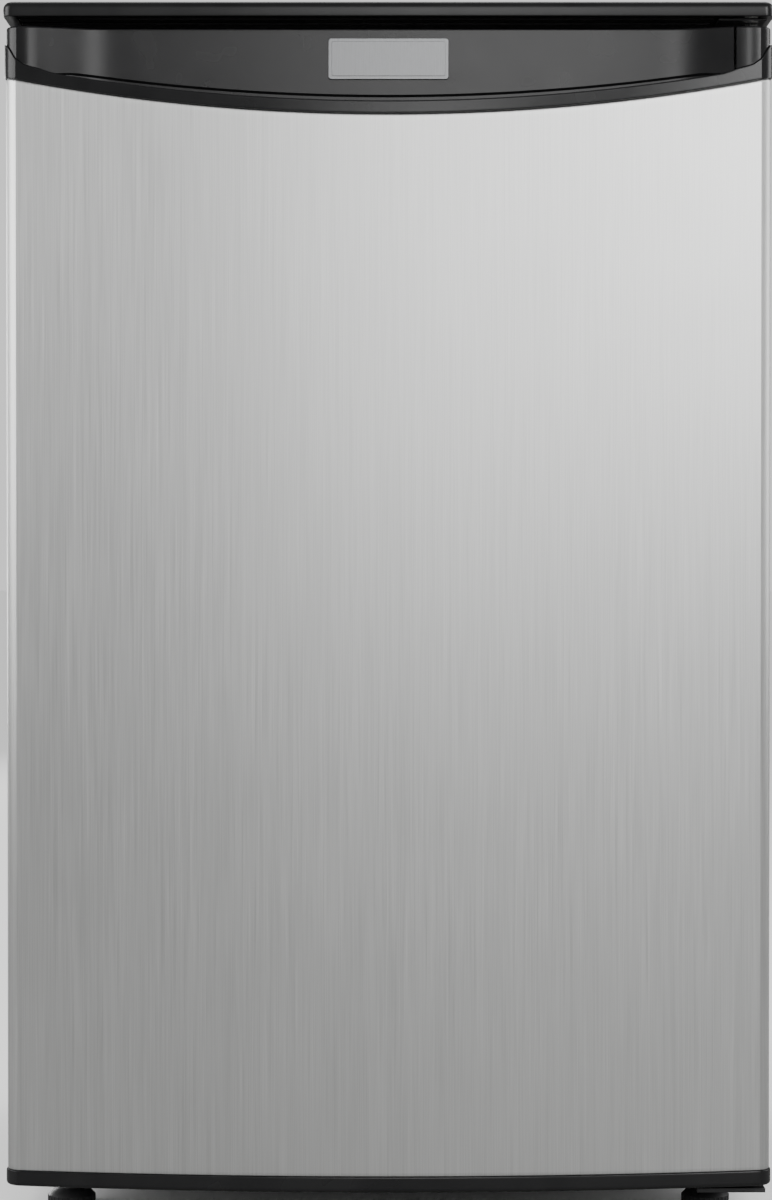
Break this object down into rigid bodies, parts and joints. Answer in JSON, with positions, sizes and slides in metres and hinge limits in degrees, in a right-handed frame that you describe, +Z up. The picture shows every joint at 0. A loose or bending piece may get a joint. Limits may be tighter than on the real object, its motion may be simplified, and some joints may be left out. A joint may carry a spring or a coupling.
{
  "type": "compact refrigerator",
  "caption": "Under-counter refrigerator with a bowed steel door, a finger pocket along its top edge, a flat worktop, glass shelves, door racks and a crisper drawer.",
  "frame": {"origin": "on the floor, under the middle of the bounding box", "axes": "+Z up, +X to the right of someone facing the door, the door faces -Y"},
  "size_m": [0.5254, 0.541, 0.84],
  "materials": {
    "worktop_plastic": "satin black with a fine moulded texture",
    "painted_steel": "black paint with a fine texture",
    "galvanised_steel": "dull galvanised sheet",
    "liner_plastic": "white vacuum-formed plastic",
    "foam": "rigid insulating foam",
    "evaporator_aluminium": "rolled aluminium sheet",
    "clear_plastic": "clear moulded plastic",
    "bulb_glass": "clear lamp glass",
    "shelf_glass": "tempered float glass",
    "satin_plastic": "satin black moulding",
    "rubber": "black soft rubber and vinyl",
    "copper": "copper tube, slightly dulled",
    "pin_steel": "bright zinc-plated steel",
    "brushed_steel": "stainless steel, brushed vertically",
    "badge_metal": "satin silver plate",
    "gloss_plastic": "gloss black moulding"
  },
  "bodies": {
    "cabinet": {"back_panel": "galvanised_steel", "base_pan": "galvanised_steel", "bottom_front_rail": "painted_steel", "bottom_hinge_bracket": "painted_steel", "cabinet_foam": "foam", "cabinet_liner": "liner_plastic", "compressor_grommet_front_left": "rubber", "compressor_grommet_front_right": "rubber", "compressor_grommet_rear_left": "rubber", "compressor_grommet_rear_right": "rubber", "compressor_plate": "galvanised_steel", "compressor_relay_cover": "satin_plastic", "compressor_shell": "painted_steel", "condenser_clip_lower_left": "satin_plastic", "condenser_clip_lower_right": "satin_plastic", "condenser_clip_upper_left": "satin_plastic", "condenser_clip_upper_right": "satin_plastic", "condenser_coil": "painted_steel", "control_housing": "liner_plastic", "cord_gland": "rubber", "crisper_cover_glass": "shelf_glass", "crisper_cover_trim": "liner_plastic", "discharge_line": "copper", "drip_tray": "satin_plastic", "evaporator_plate": "evaporator_aluminium", "filter_drier": "copper", "lamp_bulb": "bulb_glass", "lamp_lens": "clear_plastic", "lamp_socket": "satin_plastic", "rear_foot_left": "rubber", "rear_foot_right": "rubber", "rear_step_panel": "galvanised_steel", "shelf_glass_lower": "shelf_glass", "shelf_glass_upper": "shelf_glass", "shelf_trim_lower": "liner_plastic", "shelf_trim_upper": "liner_plastic", "side_panel_left": "painted_steel", "side_panel_right": "painted_steel", "suction_line": "copper", "thermostat_body": "galvanised_steel", "top_front_rail": "painted_steel", "top_hinge_bracket": "painted_steel", "top_hinge_pin": "pin_steel", "worktop": "worktop_plastic"},
    "door": {"door_front_panel": "brushed_steel", "door_top_cap": "gloss_plastic", "hinge_end_cover": "gloss_plastic", "badge_plate": "badge_metal", "door_bottom_cap": "gloss_plastic", "door_foam": "foam", "door_liner": "liner_plastic", "door_gasket": "rubber", "door_rack_top": "clear_plastic", "door_rack_middle": "clear_plastic", "door_rack_bottom": "clear_plastic"},
    "thermostat_dial": {"thermostat_knob": "liner_plastic"},
    "light_switch": {"light_switch_plunger": "liner_plastic"},
    "crisper": {"crisper_drawer": "clear_plastic"},
    "foot_left": {"levelling_foot_left": "satin_plastic"},
    "foot_right": {"levelling_foot_right": "satin_plastic"}
  },
  "joints": [
    {"name": "door_swing", "type": "hinge", "parent": "cabinet", "child": "door", "pos_m": [0.249, -0.222, 0.427], "axis": [0, 0, 1], "range_deg": [0, 130]},
    {"name": "thermostat_turn", "type": "hinge", "parent": "cabinet", "child": "thermostat_dial", "pos_m": [0.105, -0.14, 0.763], "axis": [0, -1, 0], "range_deg": [-135, 135]},
    {"name": "switch_press", "type": "slide", "parent": "cabinet", "child": "light_switch", "axis": [0, -1, 0], "range_m": [0, 0.006]},
    {"name": "crisper_slide", "type": "slide", "parent": "cabinet", "child": "crisper", "axis": [0, -1, 0], "range_m": [0, 0.12]},
    {"name": "foot_turn_left", "type": "hinge", "parent": "cabinet", "child": "foot_left", "pos_m": [-0.226, -0.158, 0.01], "axis": [0, 0, 1], "continuous": true},
    {"name": "foot_turn_right", "type": "hinge", "parent": "cabinet", "child": "foot_right", "pos_m": [0.226, -0.158, 0.01], "axis": [0, 0, 1], "continuous": true}
  ],
  "couplings": [
    {"joint": "crisper_slide", "follows": "door_swing", "m_per_rad": 0.0528},
    {"joint": "switch_press", "follows": "door_swing", "m_per_rad": 0.00264}
  ]
}
